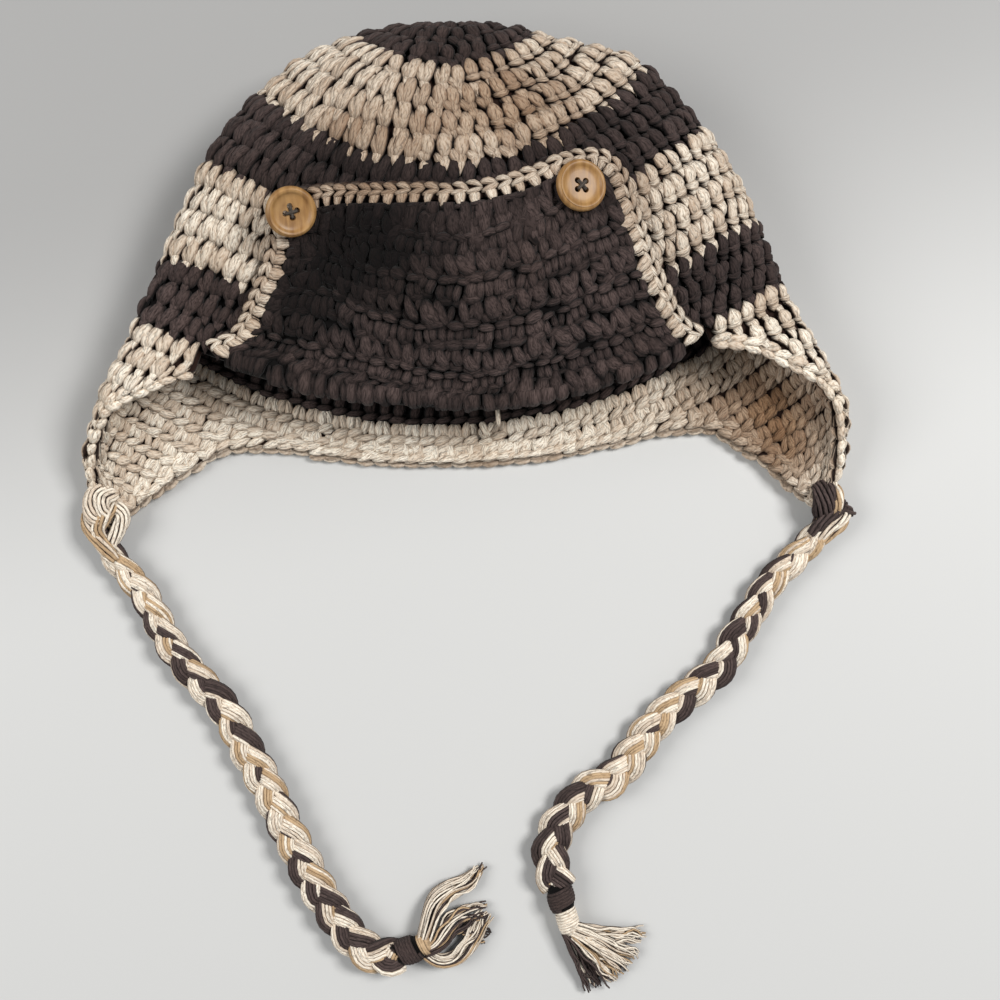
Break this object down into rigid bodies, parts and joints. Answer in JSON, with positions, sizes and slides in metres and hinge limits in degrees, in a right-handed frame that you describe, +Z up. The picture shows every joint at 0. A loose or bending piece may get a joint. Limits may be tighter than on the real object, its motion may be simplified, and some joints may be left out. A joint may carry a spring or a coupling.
{
  "type": "crocheted baby hat with ear flaps and plaited ties",
  "caption": "Striped crocheted baby hat with a buttoned turned-up front panel, ear flaps and plaited ties, lying on its back.",
  "frame": {"origin": "on the surface that the hat lies on, under the middle of the hat's own box, ties left out", "axes": "+Z up from the surface, the front of the hat facing up; the crown towards +Y and the mouth towards -Y; +X across the hat"},
  "size_m": [0.246, 0.3065, 0.0621],
  "materials": {
    "cream_yarn": "thick matt cotton, crocheted",
    "dark_yarn": "thick matt cotton, crocheted",
    "mixed_yarn": "cream, tan and dark brown cotton yarns, plaited",
    "button_wood": "smooth pale wood",
    "dark_thread": "sewing thread"
  },
  "bodies": {
    "root": {"crown_disc_dark": "dark_yarn", "crown_band_cream_1": "cream_yarn", "crown_band_dark_2": "dark_yarn", "crown_band_cream_2": "cream_yarn", "crown_band_dark_3": "dark_yarn", "rim_and_ear_flaps": "cream_yarn", "brim_panel": "dark_yarn", "brim_edging": "cream_yarn", "button_left": "button_wood", "button_right": "button_wood", "button_thread_left": "dark_thread", "button_thread_right": "dark_thread", "tie_knot_left": "cream_yarn", "tie_knot_right": "dark_yarn", "tie_braid_left": "mixed_yarn", "tie_braid_right": "mixed_yarn", "tie_wrap_left": "dark_yarn", "tie_wrap_right": "dark_yarn", "tassel_left": "mixed_yarn", "tassel_right": "mixed_yarn"}
  },
  "joints": []
}
